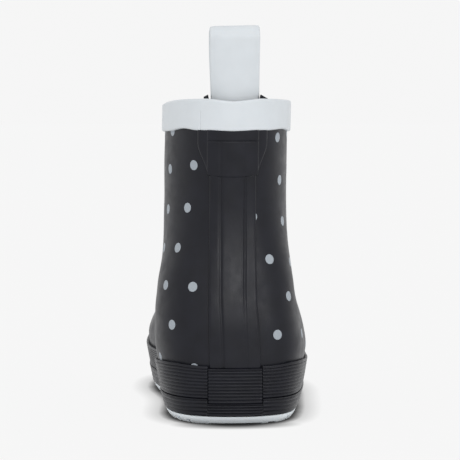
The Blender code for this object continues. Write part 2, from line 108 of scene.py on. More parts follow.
LOOP_TAIL = 12.0 * MM
LOOP_LEAN = 4.0 * MM
LOOP_OFFSET = 0.7 * MM
LOOP_OPENING = 8.0 * MM
ANCHOR_HALF_WIDTH = 13.6 * MM
ANCHOR_THICKNESS = 1.2 * MM
ANCHOR_TAIL = 2.0 * MM
GAP = 0.3 * MM

SIDE_COLUMNS = 27
COLUMNS = 2 * SIDE_COLUMNS
BACK_COLUMNS = (GROOVE_PLACE, BACKSTAY_HALF_WIDTH, SHIELD_HALF_WIDTH)

# station, foot y, outer x, inner x, instep y, x, shaft y, x
STATIONS = (
    ("back", 0.000, 0.000, 0.000, 0.000, 0.000, 0.000, 0.000),
    ("heel corner", 0.041, 0.715, 0.715, 0.034, 0.600, 0.040, 0.415),
    ("heel side", 0.165, 0.985, 0.985, 0.125, 0.925, 0.150, 0.740),
    ("waist back", 0.306, 1.052, 0.935, 0.265, 1.000, 0.312, 0.940),
    ("waist front", 0.469, 1.018, 0.850, 0.430, 0.915, 0.500, 1.000),
    ("ball", 0.622, 1.022, 0.945, 0.610, 0.760, 0.688, 0.925),
    ("toe root", 0.776, 0.970, 0.950, 0.780, 0.545, 0.850, 0.715),
    ("toe corner", 0.925, 0.670, 0.740, 0.930, 0.275, 0.960, 0.395),
    ("tip", 1.000, -0.060, -0.060, 1.000, 0.000, 1.000, 0.000),
)

# name, height at back, at front, back, length, heel width, ball width, foot, instep, shift
SECTIONS = (
    ("feather", -1.000, -1.000, 0.016, 0.964, 0.890, 0.900, 1.00, 0.00, -0.010),
    ("mid foxing", -0.560, -0.560, 0.006, 0.989, 0.970, 0.952, 1.00, 0.00, -0.012),
    ("foxing top", 0.000, 0.000, 0.000, 1.000, 1.040, 1.000, 1.00, 0.00, -0.017),
    ("bulge", 0.058, 0.050, 0.000, 0.987, 1.068, 0.968, 1.00, 0.00, -0.021),
    ("toe top", 0.115, 0.093, 0.001, 0.953, 1.064, 0.905, 0.95, 0.05, -0.033),
    ("vamp low", 0.165, 0.129, 0.003, 0.895, 1.045, 0.842, 0.78, 0.22, -0.042),
    ("vamp mid", 0.215, 0.174, 0.007, 0.816, 1.020, 0.800, 0.48, 0.52, -0.055),
    ("vamp high", 0.271, 0.225, 0.013, 0.728, 0.986, 0.780, 0.18, 0.80, -0.060),
    ("instep", 0.329, 0.281, 0.021, 0.679, 0.982, 0.780, 0.02, 0.83, -0.058),
    ("ankle low", 0.395, 0.353, 0.030, 0.690, 0.983, 0.780, 0.00, 0.60, -0.052),
    ("ankle", 0.469, 0.438, 0.037, 0.767, 0.990, 0.780, 0.00, 0.33, -0.050),
    ("ankle high", 0.554, 0.531, 0.041, 0.873, 0.997, 0.780, 0.00, 0.13, -0.049),
    ("shaft low", 0.646, 0.628, 0.041, 0.955, 0.996, 0.780, 0.00, 0.03, -0.047),
    ("shaft mid", 0.757, 0.739, 0.037, 0.993, 0.999, 0.780, 0.00, 0.00, -0.046),
    ("collar foot", 0.882, 0.857, 0.031, 1.008, 0.994, 0.780, 0.00, 0.00, -0.041),
    ("rim", 1.000, 0.970, 0.024, 1.030, 0.994, 0.780, 0.00, 0.00, -0.036),
)
NAMES = [row[0] for row in SECTIONS]
RIM = float(len(SECTIONS) - 1)

# place, share of FOOT_LENGTH from the heel, share of FOXING_TOP above it
FOXING_LINE = (
    ("panel edge", 0.012, 0.040),
    ("heel", 0.045, 0.070),
    ("heel side", 0.110, 0.055),
    ("waist back", 0.200, -0.007),
    ("waist", 0.270, -0.035),
    ("waist front", 0.400, -0.090),
    ("ball", 0.580, -0.130),
    ("toe root", 0.780, -0.120),
    ("toe", 1.000, -0.080),
)

BALL_FROM, BALL_RUN = 0.2, 0.4  # share of the foot over which the heel's width turns into the ball's
SHIFT_LEAST = 0.4  # share of its shift that a section's very back takes
SHIFT_RUN = 0.4 * SHAFT_DEPTH
DIP_HALF_WIDTH = 1.25 * BACKSTAY_HALF_WIDTH

# How fine the looks are
ROWS_EACH = 11  # rows of faces between two sections
COLUMNS_EACH = 6  # between two columns of the solids
DENSE = 20  # worked-out sections between two of the table
INNER_ROWS = 46  # rows of the wall's inside
SINK = 0.1 * MM  # overlays reach this far into the wall, so that no light shows under them


# Wall
def smooth(share):
    """Soft step from 0 to 1."""
    share = np.clip(share, 0.0, 1.0)
    return share * share * (3.0 - 2.0 * share)


def open_curve(rows, at):
    """The smooth curve through the rows of a table, read at the row numbers in at."""
    count = len(rows)
    matrix = 4.0 * np.eye(count) + np.eye(count, k=1) + np.eye(count, k=-1)
    matrix[0], matrix[-1] = np.eye(count)[0], np.eye(count)[-1]
    turn = np.zeros_like(rows)
    turn[1:-1] = rows[:-2] - 2.0 * rows[1:-1] + rows[2:]
    second = np.linalg.solve(matrix, 6.0 * turn)
    first = np.minimum(at.astype(int), count - 2)
    b = (at - first)[:, None]
    a = 1.0 - b
    bend = (a**3 - a) * second[first] + (b**3 - b) * second[first + 1]
    return a * rows[first] + b * rows[first + 1] + bend / 6.0


def toe_spring(y):
    """How far the sole has risen at this distance from the heel."""
    return TOE_SPRING * np.clip((y / FOOT_LENGTH - TOE_BEND) / (1.0 - TOE_BEND), 0.0, 1.0) ** 2


FEATHER = OUTSOLE_HEIGHT + GAP


def height_of(share):
    """Height for a share of the foxing below its top or of the shaft above it."""
    if share < 0.0:
        return FOXING_TOP + share * (FOXING_TOP - FEATHER)
    return FOXING_TOP + share * (SHAFT_HEIGHT - FOXING_TOP)


def section_sizes():
    """SECTIONS with its shares turned into lengths, but for the outline shares."""
    sizes = []
    for _, high, low, back, length, heel, ball, foot, instep, shift in SECTIONS:
        shaft = 1.0 - foot - instep
        whole_length = (1.0 - shaft) * FOOT_LENGTH + shaft * SHAFT_DEPTH
        whole_width = (1.0 - shaft) * HEEL_WIDTH + shaft * SHAFT_WIDTH
        ends = back * FOOT_LENGTH, length * whole_length
        widths = heel * whole_width, ball * BALL_WIDTH
        heights = height_of(high), height_of(low)
        sizes.append((*heights, *ends, *widths, foot, instep, shift * SHAFT_WIDTH))
    return np.array(sizes)


def outline(heel_half, ball_half, length, foot, instep):
    """Sixteen control points of one section, from the middle of the back round the outer side."""
    shaft = 1.0 - foot - instep
    points = []
    for side, rows in ((1.0, STATIONS[:-1]), (-1.0, STATIONS[:0:-1])):
        for station, foot_y, outer_x, inner_x, instep_y, instep_x, shaft_y, shaft_x in rows:
            half = heel_half + (ball_half - heel_half) * smooth((foot_y - BALL_FROM) / BALL_RUN)
            foot_x = outer_x if side > 0 or station == "tip" else -inner_x
            other_x = side * (instep * instep_x + shaft * shaft_x)
            x = foot * half * foot_x + heel_half * other_x
            y = foot * foot_y + instep * instep_y + shaft * shaft_y
            points.append((x, y * length))
    return np.array(points)


AT = np.arange(0, (len(SECTIONS) - 1) * DENSE + 1) / DENSE
HIGH, LOW, BACK, LENGTH, HEEL, BALL, FOOT, INSTEP, SHIFT = open_curve(section_sizes(), AT).T
FOOT, INSTEP = np.maximum(FOOT, 0.0), np.maximum(INSTEP, 0.0)
OUTLINE_SIZES = zip(HEEL / 2, BALL / 2, LENGTH, FOOT, INSTEP)
CONTROL = np.array([outline(*sizes) for sizes in OUTLINE_SIZES])
COUNT = CONTROL.shape[1]
ONES = np.eye(COUNT)
TURN = np.roll(CONTROL, 1, 1) - 2.0 * CONTROL + np.roll(CONTROL, -1, 1)
MATRIX = 4.0 * ONES + np.roll(ONES, 1, 0) + np.roll(ONES, -1, 0)
SECOND = 6.0 * np.einsum("ij,kjc->kic", np.linalg.inv(MATRIX), TURN)
NEAR_RIM = smooth((AT - NAMES.index("shaft mid")) / 2.0)


def flat_line(k, share):
    """Plan of worked-out section k at shares of the way round, before any shift."""
    place = (share % 1.0) * COUNT
    first = np.floor(place).astype(int) % COUNT
    last = (first + 1) % COUNT
    b = (place - np.floor(place))[..., None]
    a = 1.0 - b
    bend = (a**3 - a) * SECOND[k, first] + (b**3 - b) * SECOND[k, last]
    return a * CONTROL[k, first] + b * CONTROL[k, last] + bend / 6.0


def section_point(k, share):
    """Point of worked-out section k at shares of the way round."""
    plan = flat_line(k, share)
    x, y = plan[..., 0], plan[..., 1]
    z = HIGH[k] + (LOW[k] - HIGH[k]) * y / LENGTH[k] + FOOT[k] * toe_spring(y + BACK[k])
    turned = SHIFT_LEAST + (1.0 - SHIFT_LEAST) * smooth(y / SHIFT_RUN)
    near_back = smooth(1.0 - np.abs(x) / DIP_HALF_WIDTH) * (y < LENGTH[k] / 2)
    z = z - RIM_DIP * NEAR_RIM[k] * near_back
    return np.stack([x + SHIFT[k] * turned, y + BACK[k], z], -1)


def back_shares():
    """For each worked-out section, how far round BACK_COLUMNS lie on the outer and on the inner side."""
    fine = np.linspace(0.0, 0.3, 241)
    found = []
    for k in range(len(AT)):
        both = []
        for side in (1.0, -1.0):
            line = flat_line(k, side * fine)
            run = np.concatenate([[0.0], np.cumsum(np.linalg.norm(np.diff(line, axis=0), axis=1))])
            both.append([0.0, *np.interp(BACK_COLUMNS, run, fine), 0.5])
        found.append(both)
    return np.array(found)


SHARES = back_shares()
KNOTS = np.array([0.0, 1.0, 2.0, 3.0, SIDE_COLUMNS])


def share_of(k, column):
    """How far round worked-out section k a column lies."""
    column = column % COLUMNS
    inner = column > SIDE_COLUMNS
    near = np.where(inner, COLUMNS - column, column)
    step = np.clip(np.searchsorted(KNOTS, near, side="right") - 1, 0, len(KNOTS) - 2)
    part = (near - KNOTS[step]) / (KNOTS[step + 1] - KNOTS[step])
    side = inner.astype(int)
    share = (1.0 - part) * SHARES[k, side, step] + part * SHARES[k, side, step + 1]
    return np.where(inner, -share, share)


def bare_wall(row, column):
    """The wall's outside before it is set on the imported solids."""
    row, column = np.broadcast_arrays(np.asarray(row, float), np.asarray(column, float))
    k = np.clip(row, 0.0, RIM) * DENSE
    low = np.minimum(k.astype(int), len(AT) - 2)
    up = (k - low)[..., None]
    below = section_point(low, share_of(low, column))
    above = section_point(low + 1, share_of(low + 1, column))
    return (1.0 - up) * below + up * above


def unit(vectors):
    return vectors / np.maximum(np.linalg.norm(vectors, axis=-1, keepdims=True), 1e-12)


def facing(row, column):
    """The wall's outward direction."""
    row = np.asarray(row, float)
    low, high = np.clip(row - 0.04, 0.0, RIM), np.clip(row + 0.04, 0.0, RIM)
    along = bare_wall(row, column + 0.03) - bare_wall(row, column - 0.03)
    return unit(np.cross(along, bare_wall(high, column) - bare_wall(low, column)))


SOLID_ROWS = np.arange(0.0, RIM + 0.1, 0.5)[:, None]
SOLID_WALL = bare_wall(SOLID_ROWS, np.arange(COLUMNS)[None, :])
UPPER_LOW, UPPER_HIGH = (np.array(corner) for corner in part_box("upper"))
PLACE = (UPPER_LOW + UPPER_HIGH) / 2 - (SOLID_WALL.min(axis=(0, 1)) + SOLID_WALL.max(axis=(0, 1))) / 2
PLACE[2] = 0.0


def wall(row, column, lift=0.0, level=True):
    """A point on the wall, lifted off it: level for what is bonded to it, else straight out."""
    row, column = np.broadcast_arrays(np.asarray(row, float), np.asarray(column, float))
    out = facing(row, column)
    if level:
        out = unit(out * (1.0, 1.0, 0.0))
    return bare_wall(row, column) + np.asarray(lift)[..., None] * out + PLACE


def column_at(distance):
    """The column this far from the middle of the back, outer side positive."""
    places = [0.0, *BACK_COLUMNS]
    return np.sign(distance) * np.interp(np.abs(distance), places, range(len(places)))


def row_at(height):
    return np.interp(height, HIGH, AT)


# Meshes
def add_object(name, data):
    made = bpy.data.objects.new(name, data)
    bpy.context.scene.collection.objects.link(made)
    return made


def finish_piece(name, points, faces, paint, nodes=()):
    """A mesh that rides on the root body and hides these nodes."""
    mesh = bpy.data.meshes.new(name)
    mesh.from_pydata([tuple(p) for p in points], [], faces)
    work = bmesh.new()
    work.from_mesh(mesh)
    bmesh.ops.recalc_face_normals(work, faces=work.faces)
    work.to_mesh(mesh)
    work.free()
    mesh.shade_smooth()
    mesh.materials.append(paint)
    made = add_object(name, mesh)
    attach(made, "root")
    if nodes:
        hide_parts(*nodes)
    return made


def skin(name, grid, paint, nodes=(), loop=False):
    """A closed piece whose sections are the columns of grid, each of them a closed line."""
    size, count = grid.shape[:2]
    faces = []
    for j in range(count if loop else count - 1):
        after = (j + 1) % count
        for i in range(size):
            up = (i + 1) % size
            faces.append((i * count + j, up * count + j, up * count + after, i * count + after))
    if not loop:
        half = size // 2
        for j in (0, count - 1):
            for i in range(half - 1):
                far = size - 1 - i
                faces.append((i * count + j, (i + 1) * count + j, (far - 1) * count + j, far * count + j))
    return finish_piece(name, grid.reshape(-1, 3), faces, paint, nodes)


def steps(start, stop, count, radius):
    """Places from start to stop, close together near both ends for a rounded edge."""
    corner = radius * (1.0 - np.cos(np.radians((0.0, 25.0, 45.0, 65.0))))
    inner = np.linspace(start + radius, stop - radius, count)
    return np.concatenate([start + corner, inner, stop - corner[::-1]])


def rounded(inset, radius):
    """How high a rounded edge stands this far in from it, as a share of its full height."""
    return np.sqrt(np.clip(1.0 - (1.0 - np.clip(inset / radius, 0.0, 1.0)) ** 2, 0.0, 1.0))


def overlay(name, rows, columns, lift, paint, nodes, loop=False):
    """A piece bonded to the wall: rows and columns as grids, with the lift of its outer face."""
    outer = wall(rows, columns, GAP + lift)
    inner = wall(rows, columns, -SINK)
    return skin(name, np.concatenate([outer, inner[::-1]]), paint, nodes, loop)


# Materials
def srgb(value):
    """Linear value of a colour given as 0 to 255."""
    share = value / 255.0
    return share / 12.92 if share <= 0.04045 else ((share + 0.055) / 1.055) ** 2.4


def colour(red, green, blue):
    return (srgb(red), srgb(green), srgb(blue), 1.0)


class Paint:
    """A Principled material with a few helpers for its nodes."""

    def __init__(self, name):
        self.made = bpy.data.materials.new(name)
        self.made.use_nodes = True
        self.tree = self.made.node_tree
        self.shader = self.tree.nodes["Principled BSDF"]
        self.where = self.tree.nodes.new("ShaderNodeTexCoord").outputs["Object"]

    def node(self, kind, sockets=None, **values):
        """A new node with these properties, and these values on its sockets."""
        made = self.tree.nodes.new(kind)
        for key, value in values.items():
            setattr(made, key, value)
        for key, value in (sockets or {}).items():
            made.inputs[key].default_value = value
        return made

    def link(self, source, target):
        self.tree.links.new(source, target)

    def noise(self, size, detail=2.0, rough=0.5):
        """Noise whose lumps are about this size."""
        made = self.node("ShaderNodeTexNoise", {"Scale": 1.0 / size, "Detail": detail, "Roughness": rough})
        self.link(self.where, made.inputs["Vector"])
        return made.outputs["Fac"]

    def ramp(self, source, low, high, first=0.35, last=0.65):
        """Low where the source is at first, high where it is at last."""
        ends = {"From Min": first, "From Max": last, "To Min": low, "To Max": high}
        made = self.node("ShaderNodeMapRange", ends)
        self.link(source, made.inputs["Value"])
        return made.outputs["Result"]

    def mix(self, source, one, other):
        made = self.node("ShaderNodeMix", {"A": one, "B": other}, data_type="RGBA")
        self.link(source, made.inputs["Factor"])
        return made.outputs["Result"]

    def combine(self, operation, sources):
        """The sources brought together by one operation, one after the other."""
        made = sources[0]
        for source in sources[1:]:
            step = self.node("ShaderNodeMath", operation=operation)
            self.link(made, step.inputs[0])
            self.link(source, step.inputs[1])
            made = step.outputs[0]
        return made

    def bump(self, source, depth, before=None):
        made = self.node("ShaderNodeBump", {"Strength": 1.0, "Distance": depth})
        self.link(source, made.inputs["Height"])
        if before is not None:
            self.link(before, made.inputs["Normal"])
        return made.outputs["Normal"]

    def put(self, socket, value):
        """Link or set one socket of the shader."""
        if isinstance(value, bpy.types.NodeSocket):
            self.link(value, self.shader.inputs[socket])
        else:
            self.shader.inputs[socket].default_value = value

    def mould(self, tones, cloud, patch, detail, roughness, waves, grain_size, grain):
        """Moulded rubber: clouds of two tones, patches of gloss, the mould's slow waves and a grain."""
        self.put("Base Color", self.mix(self.ramp(self.noise(cloud, 3.0), 0.0, 1.0), *tones))
        gloss = self.noise(patch, detail, 0.6)
        self.put("Roughness", self.ramp(gloss, roughness - 0.05, roughness + 0.06))
        slow = self.bump(self.noise(14 * MM, 1.0), waves)
        self.put("Normal", self.bump(self.noise(grain_size, 3.0, 0.6), grain, slow))


def black_rubber(name, grey, roughness, grain, waves):
    """Black rubber, even and satin, a little blue."""
    paint = Paint(name)
    tones = colour(grey - 2, grey - 1, grey + 6), colour(grey + 2, grey + 3, grey + 11)
    paint.mould(tones, 9 * MM, 6 * MM, 4.0, roughness, waves, 0.45 * MM, grain)
    paint.put("Specular IOR Level", 0.24)
    return paint.made


def pale_rubber(name, red, green, blue, roughness):
    """Pale grey rubber, a little waxy, with faint clouding."""
    paint = Paint(name)
    tones = [colour(red + tone, green + tone, blue + tone) for tone in (-1.2, 1.2)]
    paint.mould(tones, 7 * MM, 4 * MM, 3.0, roughness, 0.010 * MM, 0.4 * MM, 0.010 * MM)
    paint.put("Specular IOR Level", 0.4)
    paint.put("Subsurface Weight", 0.12)
    paint.put("Subsurface Radius", (1.0, 0.9, 0.8))
    paint.put("Subsurface Scale", 1.2 * MM)
    return paint.made


def textile(name, red, green, blue, rib):
    """Knitted textile: fine ribs up and across, darker in their hollows as painted shade, with a fuzzy
    sheen.
    """
    paint = Paint(name)
    waves = []
    for axis in ("X", "Y", "Z"):
        sizes = {"Scale": 0.05 * 2 * math.pi / rib, "Distortion": 0.8, "Detail": 1.0}
        wave = paint.node("ShaderNodeTexWave", sizes, wave_type="BANDS", bands_direction=axis)
        paint.link(paint.where, wave.inputs["Vector"])
        waves.append(wave.outputs["Fac"])
    height = paint.combine("ADD", waves)
    # painted shade: the colour darkens where the ribs' height is low
    dark, light = colour(red * 0.78, green * 0.78, blue * 0.78), colour(red, green, blue)
    paint.put("Base Color", paint.mix(paint.ramp(height, 0.0, 1.0, 0.6, 2.2), dark, light))
    paint.put("Roughness", paint.ramp(paint.noise(3 * MM), 0.88, 0.98))
    paint.put("Normal", paint.bump(paint.noise(0.5 * MM, 3.0), 0.05 * MM, paint.bump(height, 0.10 * MM)))
    paint.put("Sheen Weight", 0.25)
    paint.put("Sheen Roughness", 0.5)
    return paint.made


UPPER_PAINT = black_rubber("upper_rubber_look", 18, 0.39, 0.008 * MM, 0.06 * MM)
OVERLAY_PAINT = black_rubber("overlay_rubber_look", 18, 0.33, 0.008 * MM, 0.04 * MM)
SIDE_PAINT = black_rubber("sole_side_rubber_look", 18, 0.36, 0.012 * MM, 0.03 * MM)
COLLAR_PAINT = pale_rubber("collar_rubber_look", 200, 205, 209, 0.46)
LOOP_PAINT = pale_rubber("loop_rubber_look", 199, 204, 208, 0.50)
SOLE_PAINT = pale_rubber("outsole_rubber_look", 224, 230, 234, 0.60)
DOT_PAINT = pale_rubber("dot_print_look", 148, 155, 162, 0.50)
LINING_PAINT = textile("lining_look", 92, 95, 100, 0.9 * MM)
INSOLE_PAINT = textile("insole_look", 118, 121, 126, 1.3 * MM)


# Upper
# Soft troughs and swells: row, column, rows wide, columns wide, height
CREASES = (
    (8.6, 27.0, 0.55, 9.0, -0.7 * MM),
    (7.6, 27.0, 0.50, 8.0, 0.4 * MM),
    (9.9, 26.0, 0.70, 8.0, 0.35 * MM),
    (8.0, 15.0, 0.80, 3.5, -0.35 * MM),
    (8.2, 39.0, 0.80, 3.5, -0.35 * MM),
    (11.0, 10.0, 1.60, 2.5, -0.25 * MM),
    (10.6, 44.0, 1.60, 2.5, -0.25 * MM),
    (7.0, 48.3, 0.45, 0.9, -0.20 * MM),
    (6.3, 47.5, 0.40, 0.9, -0.18 * MM),
    (8.9, 46.6, 0.50, 1.3, -0.22 * MM),
    (8.4, 7.6, 0.50, 1.3, -0.20 * MM),
)


def relief(rows, columns):
    """Height of the creases on the bare wall."""
    columns = columns % COLUMNS
    total = np.zeros(np.broadcast(rows, columns).shape)
    for row, column, tall, wide, height in CREASES:
        total = total + height * np.exp(-(((rows - row) / tall) ** 2) - ((columns - column) / wide) ** 2)
    return total


ROUND = np.arange(COLUMNS * COLUMNS_EACH)[None, :] / COLUMNS_EACH
OUTER_ROWS = np.arange(int(RIM) * ROWS_EACH + 1)[:, None] / ROWS_EACH
EDGE = 0.5 * MM  # rounding of the rim
EDGE_SHARE = 0.3  # where its bead turns
RIM_SUNK = 0.8 * MM  # the trim's edge hides the bare rim
RIM_LOW = (-11.9, 3.5, 1.5 * MM)  # and sinks once more at this column, this wide, by this


def rim_drop(columns):
    """How much lower the rim and the trim's top edge are than those of the solids."""
    middle_column, wide, deep = RIM_LOW
    near = (columns + SIDE_COLUMNS) % COLUMNS - SIDE_COLUMNS
    return deep * np.exp(-(((near - middle_column) / wide) ** 2))


def inner_point(row, column, inset):
    """A point on the wall's inside, this far off it."""
    return bare_wall(row, column) - (UPPER_WALL + inset) * facing(row, column) + PLACE


outer_skin = wall(OUTER_ROWS, ROUND, relief(OUTER_ROWS, ROUND), level=False)
rim_outer = outer_skin[-1].copy()
rim_outer[:, 2] -= RIM_SUNK + rim_drop(ROUND[0])
outer_skin[-5:-1, :, 2] = np.minimum(outer_skin[-5:-1, :, 2], rim_outer[:, 2] - 2.0 * EDGE)
rim_inner = inner_point(RIM, ROUND[0], 0.0)
rim_inner[:, 2] = rim_outer[:, 2]
across_rim = unit(rim_inner - rim_outer)
down = np.array([0.0, 0.0, EDGE])
outer_skin[-1] = rim_outer - down
low_turn = across_rim * EDGE * EDGE_SHARE
bead = [rim_outer + low_turn - down * EDGE_SHARE, rim_outer + across_rim * EDGE]
bead += [rim_inner - across_rim * EDGE, rim_inner - low_turn - down * EDGE_SHARE, rim_inner - down]
inner_rows = np.linspace(RIM - 0.1, 0.0, INNER_ROWS)[:, None]
inner_skin = inner_point(inner_rows, ROUND, 0.0)
inner_skin[-1, :, 2] = outer_skin[0, :, 2]
skin("upper_skin", np.concatenate([outer_skin, np.array(bead), inner_skin]), UPPER_PAINT,
     ["upper"], loop=True)

# Printed dots. Those at the back are placed one by one, as row and column of the wall.
CHARTED_DOTS = (
    (13.96, -8.05), (13.76, 5.45), (12.93, -3.62), (12.79, -8.57), (12.43, 6.15), (11.40, -4.59),
    (11.30, -9.09), (11.04, 1.72), (10.81, 6.71), (9.64, -5.89), (9.59, -9.83), (9.07, 3.14),
    (7.55, -6.86), (7.51, -3.25), (6.82, 5.41), (4.81, -4.92), (3.88, 6.97), (4.11, 3.44),
    (2.26, -6.63), (1.97, -3.22),
)
DOT_RADIUS = 2.45 * MM
DOT_APART = 19.6 * MM
DOT_PROUD = 0.06 * MM
DOT_RINGS = (0.35, 0.7, 0.93)  # shares of the radius, inside its edge
DOT_SIDES = 28
DOT_FIT = 4  # rounds in which the ring is brought to its radius on the curved wall
DOT_ROWS = (13.9, 2.1, -0.14)  # from under the trim down to the band
DOT_FIRST_COLUMNS = (7.6, 10.6)  # on the outer and on the inner side, past the charted ones
DOT_COLUMN_STEP = 0.15


def dots_elsewhere(first):
    """Further dots at an even distance from each other, row by row from the collar down to the foxing."""
    taken = [wall(row, column) for row, column in first]
    added = []
    outer, inner = (np.arange(start, SIDE_COLUMNS, DOT_COLUMN_STEP) for start in DOT_FIRST_COLUMNS)
    columns = np.concatenate([outer, -inner])
    for row in np.arange(*DOT_ROWS):
        for column, point in zip(columns, wall(row, columns)):
            if np.min(np.linalg.norm(np.array(taken) - point, axis=1)) > DOT_APART:
                taken.append(point)
                added.append((row, column))
    return added


def disc(row, column):
    """Points and faces of one thin dot that follows the wall."""
    middle = wall(row, column)
    step = 0.05
    up = (wall(row + step, column) - wall(row - step, column)) / (2.0 * step)
    along = (wall(row, column + step) - wall(row, column - step)) / (2.0 * step)
    out = facing(row, column)
    angles = np.radians(np.arange(DOT_SIDES) * 360.0 / DOT_SIDES)
    sideways = unit(along)
    upward = np.cross(out, sideways)
    basis = np.array([[along @ sideways, up @ sideways], [along @ upward, up @ upward]])
    undo = np.linalg.inv(basis)
    points, faces = [wall(row, column, DOT_PROUD + relief(row, column), level=False)], []
    levels = [(share, DOT_PROUD) for share in DOT_RINGS]
    levels += [(1.0, 0.3 * DOT_PROUD), (1.0, -DOT_PROUD)]
    for share, lift in levels:
        aims = share * DOT_RADIUS * np.array([np.cos(angles), np.sin(angles)])
        offsets = undo @ aims
        for _ in range(DOT_FIT):
            found = wall(row + offsets[1], column + offsets[0]) - middle
            offsets = offsets + 0.8 * undo @ (aims - np.array([found @ sideways, found @ upward]))
        rows, columns = row + offsets[1], column + offsets[0]
        points += list(wall(rows, columns, lift + relief(rows, columns), level=False))
    points.append(wall(row, column, -DOT_PROUD + relief(row, column), level=False))
    last = len(points) - 1
    last_ring = 1 + (len(levels) - 1) * DOT_SIDES
    for j in range(DOT_SIDES):
        after = (j + 1) % DOT_SIDES
        faces.append((0, 1 + j, 1 + after))
        faces.append((last, last_ring + after, last_ring + j))
        for k in range(len(levels) - 1):
            low, high = 1 + k * DOT_SIDES, 1 + (k + 1) * DOT_SIDES
            faces.append((low + j, high + j, high + after, low + after))
    return points, faces


dot_points, dot_faces = [], []
for dot_row, dot_column in [*CHARTED_DOTS, *dots_elsewhere(CHARTED_DOTS)]:
    some_points, some_faces = disc(dot_row, dot_column)
    base = len(dot_points)
    dot_points += some_points
    dot_faces += [tuple(base + i for i in face) for face in some_faces]
finish_piece("dots", dot_points, dot_faces, DOT_PAINT)

# Textile lining, from the footbed to below the loop's tail
LINING = 0.7 * MM
LINING_SINK = 0.05 * MM
LINING_BELOW_LOOP = 5.0 * MM
LINING_FOOT = 0.3  # its lowest row
lining_top = row_at(SHAFT_HEIGHT - LOOP_TAIL - LINING_BELOW_LOOP)
lining_rows = np.linspace(LINING_FOOT, lining_top, 70)[:, None]
lining = [inner_point(lining_rows, ROUND, -LINING_SINK), inner_point(lining_rows[::-1], ROUND, LINING)]
skin("lining", np.concatenate(lining), LINING_PAINT, loop=True)


# Side of the sole
RIB_VALLEY = 0.7 * MM
RIB_BREADTH = 0.7  # power of the sine, so less is a broader rib
RIB_STEPS = 8
LIP_ROUND = 0.45 * MM
PANEL_LIP = 0.9 * MM
RAND_LIP = 0.7 * MM


def ribs_between(bottom, top, thickness, ribs, lip):
    """Heights and lifts up a ribbed face, with a plain lip rounded at its top."""
    share = np.linspace(0.0, 1.0, ribs * RIB_STEPS + 1)
    heights = [bottom + s * (top - lip - bottom) for s in share]
    waves = [abs(math.sin(math.pi * s * ribs)) ** RIB_BREADTH for s in share]
    lifts = [thickness - RIB_VALLEY * (1.0 - wave) for wave in waves]
    for part in (0.12, 0.3, 0.6):
        heights.append(top - lip + part * lip)
        lifts.append(thickness)
    for angle in (0.0, 30.0, 60.0, 90.0):
        turn = math.radians(angle)
        heights.append(top - LIP_ROUND * (1.0 - math.sin(turn)))
        lifts.append(thickness - LIP_ROUND * (1.0 - math.cos(turn)))
    return heights, lifts


def ribbed_piece(name, columns, bottom, tops, thickness, ribs, lip, edge, nodes, loop=False):
    """A ribbed overlay up to its tops, its lift brought down at the ends by the shares in edge."""
    profiles = [ribs_between(bottom, top, thickness, ribs, lip) for top in tops]
    heights = np.array([p[0] for p in profiles]).T
    lifts = np.array([p[1] for p in profiles]).T
    rows = row_at(heights)
    columns = np.broadcast_to(columns[None, :], rows.shape)
    return overlay(name, rows, columns, lifts * edge[None, :], SIDE_PAINT, nodes, loop)


def foxing_top(columns):
    """Height of the band's top edge, the toe spring left out."""
    _, places, rises = zip(*FOXING_LINE)
    y = bare_wall(NAMES.index("foxing top"), columns)[:, 1]
    return FOXING_TOP * (1.0 + np.interp(y / FOOT_LENGTH, places, rises))


JOINT = 0.12 * MM  # between the heel panel and the ends of the band, as seen
END_ROUND = 0.45 * MM
BAND_END = 0.55  # share of its thickness at its very end
PANEL_END = 0.62
RAND_SINK = 0.2 * MM  # its foot reaches below the feather line by this
panel_edge = column_at(PANEL_HALF_WIDTH - JOINT / 2)
band_edge = column_at(PANEL_HALF_WIDTH + JOINT / 2)
step_edge = column_at(PANEL_HALF_WIDTH + GAP)

end_round = column_at(PANEL_HALF_WIDTH + JOINT / 2 + END_ROUND) - band_edge
band_columns = steps(band_edge, COLUMNS - band_edge, COLUMNS * COLUMNS_EACH, end_round)
band_inset = np.minimum(band_columns - band_edge, COLUMNS - band_edge - band_columns)
band_edges = BAND_END + (1.0 - BAND_END) * rounded(band_inset, end_round)
ribbed_piece("foxing_ribs", band_columns, RAND_TOP, foxing_top(band_columns), FOXING_THICKNESS,
             FOXING_RIBS, LIP_HEIGHT, band_edges, ["foxing_band"])

panel_columns = steps(-panel_edge, panel_edge, 40, end_round)
panel_edges = PANEL_END + (1.0 - PANEL_END) * rounded(panel_edge - np.abs(panel_columns), end_round)
ribbed_piece("heel_panel_ribs", panel_columns, RAND_TOP_AT_PANEL, np.full(panel_columns.shape, FOXING_TOP),
             PANEL_THICKNESS, PANEL_RIBS, PANEL_LIP, panel_edges, ["heel_panel"])

side = ROUND[0]
side = side[(side > step_edge + 0.05) & (side < COLUMNS - step_edge - 0.05)]
under = np.linspace(-band_edge, band_edge, 31)
rand_columns = np.concatenate([under, [step_edge], side, [COLUMNS - step_edge]])
rand_tops = np.where(np.abs(rand_columns) <= band_edge + 1e-6, RAND_TOP_AT_PANEL, RAND_TOP)
ribbed_piece("rand_ribs", rand_columns, FEATHER - RAND_SINK, rand_tops, RAND_THICKNESS, RAND_RIBS,
             RAND_LIP, np.ones(rand_columns.shape), ["sole_rand"], loop=True)

# Overlays on the back
STAY_EDGE = 1.3 * MM
SEEN_GROOVE_WIDTH = 2.3 * MM
SEEN_GROOVE_DEPTH = 0.55 * MM
STAY_IN_BAND = 0.4 * MM  # its foot reaches below the band's top by this
STAY_UNDER_TAB = 0.6 * MM
OUTER_GROOVE_LEAST = 0.45  # the groove on the outer side fades to this share towards the heel


